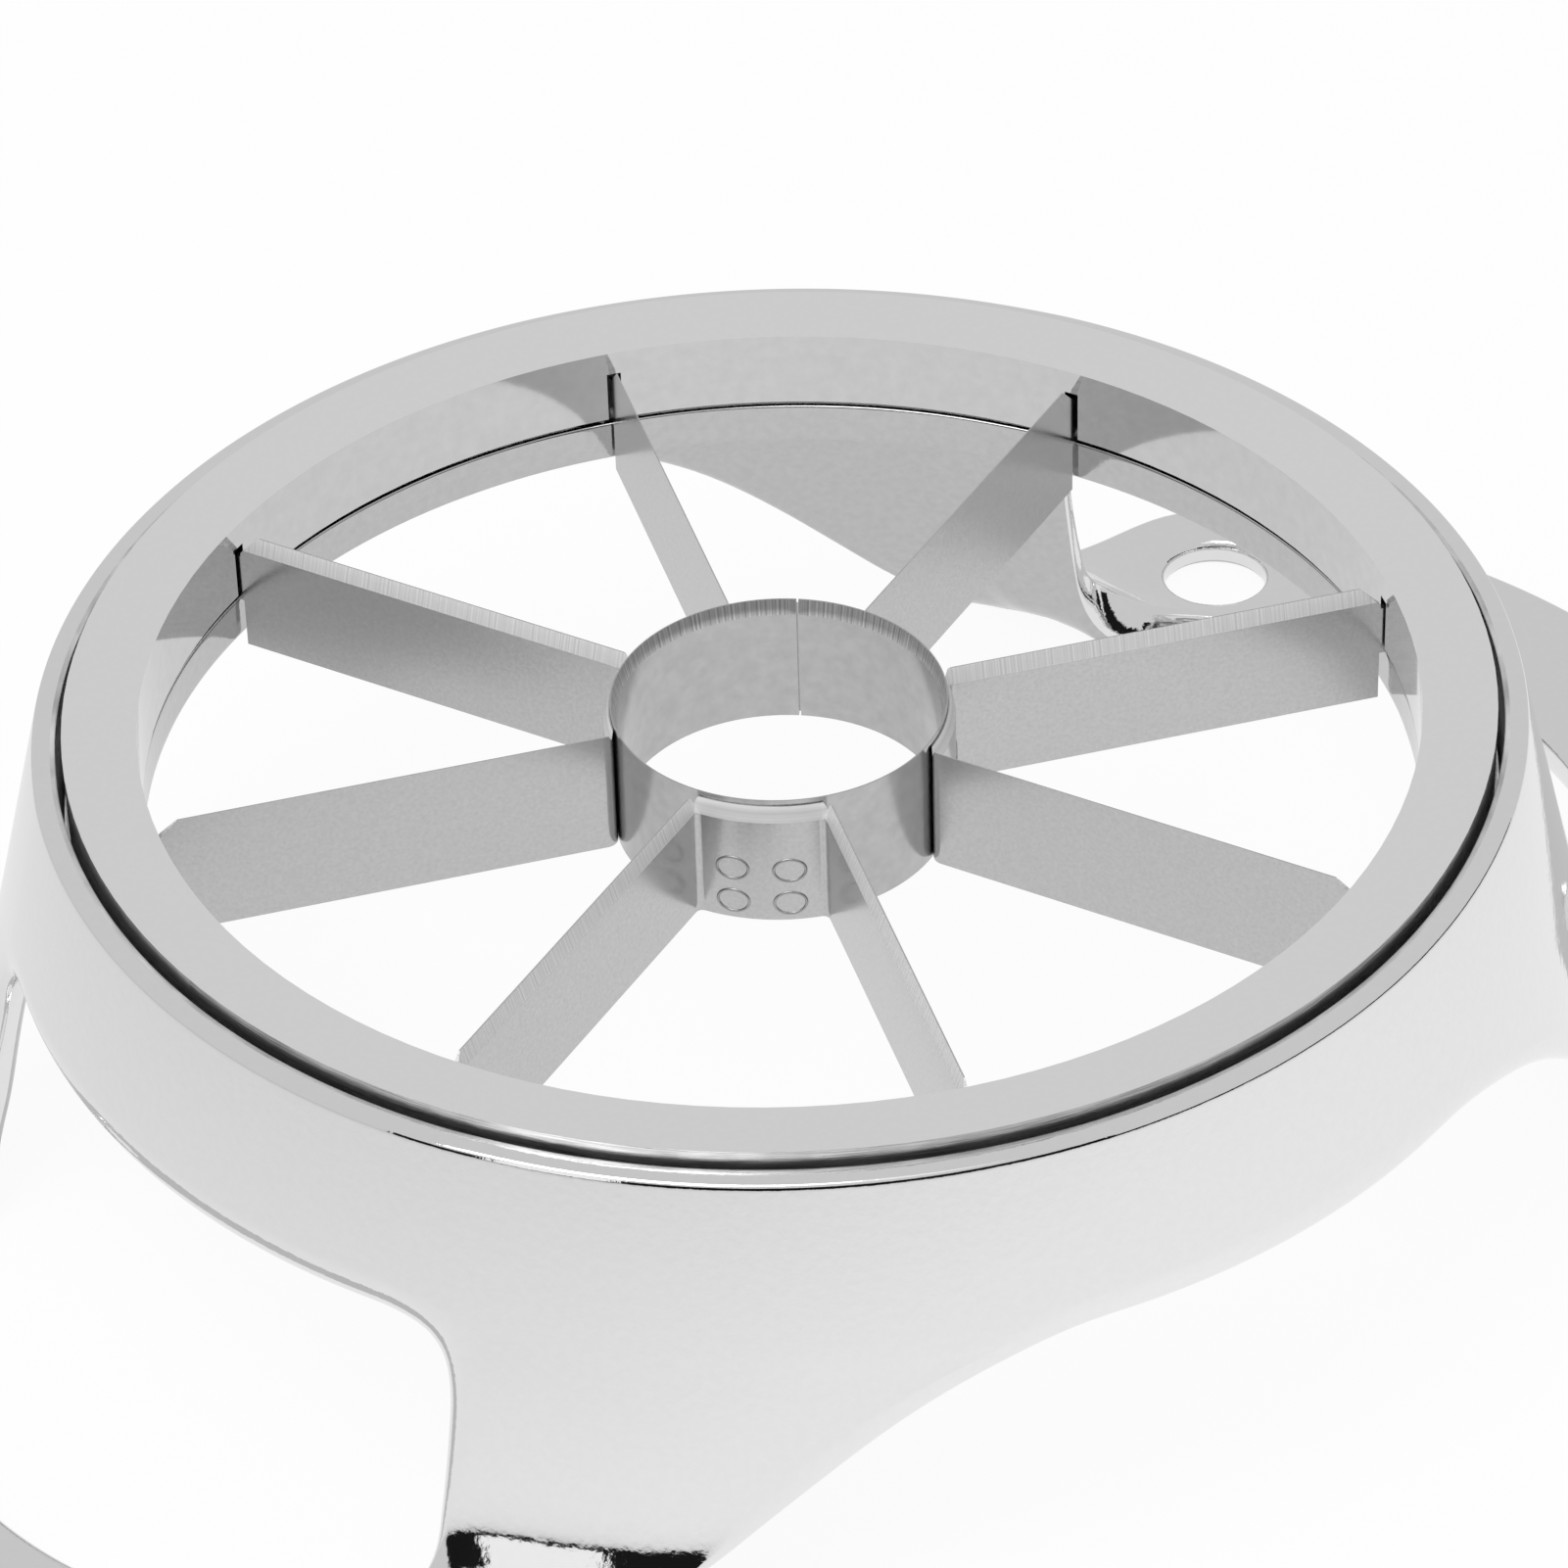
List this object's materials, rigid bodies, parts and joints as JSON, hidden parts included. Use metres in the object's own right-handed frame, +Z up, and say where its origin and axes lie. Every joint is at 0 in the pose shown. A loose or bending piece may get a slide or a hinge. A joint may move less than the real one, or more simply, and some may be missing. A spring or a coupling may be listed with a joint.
{
  "type": "apple slicer",
  "caption": "Hand apple slicer: a die-cast chrome frame with two flat loop handles holds a ring of thin radial steel blades round a core tube, which cut an apple into wedges and its core.",
  "frame": {"origin": "middle of the footprint on the plane the slicer rests on, under the ring's axis", "axes": "+Z up along the ring's axis towards the cutting edges, +X along the line through both handles, +Y across"},
  "size_m": [0.1704, 0.1132, 0.0386],
  "materials": {
    "casting_chrome": "bright plated zinc die casting",
    "ring_chrome": "satin plated",
    "core_steel": "rolled stainless sheet",
    "blade_steel": "fine-ground stainless sheet with ground edges"
  },
  "bodies": {
    "root": {"frame_casting": "casting_chrome", "blade_ring": "ring_chrome", "core_tube": "core_steel", "blade_strip_1": "blade_steel", "blade_strip_2": "blade_steel", "blade_strip_3": "blade_steel", "blade_strip_4": "blade_steel"}
  },
  "joints": []
}
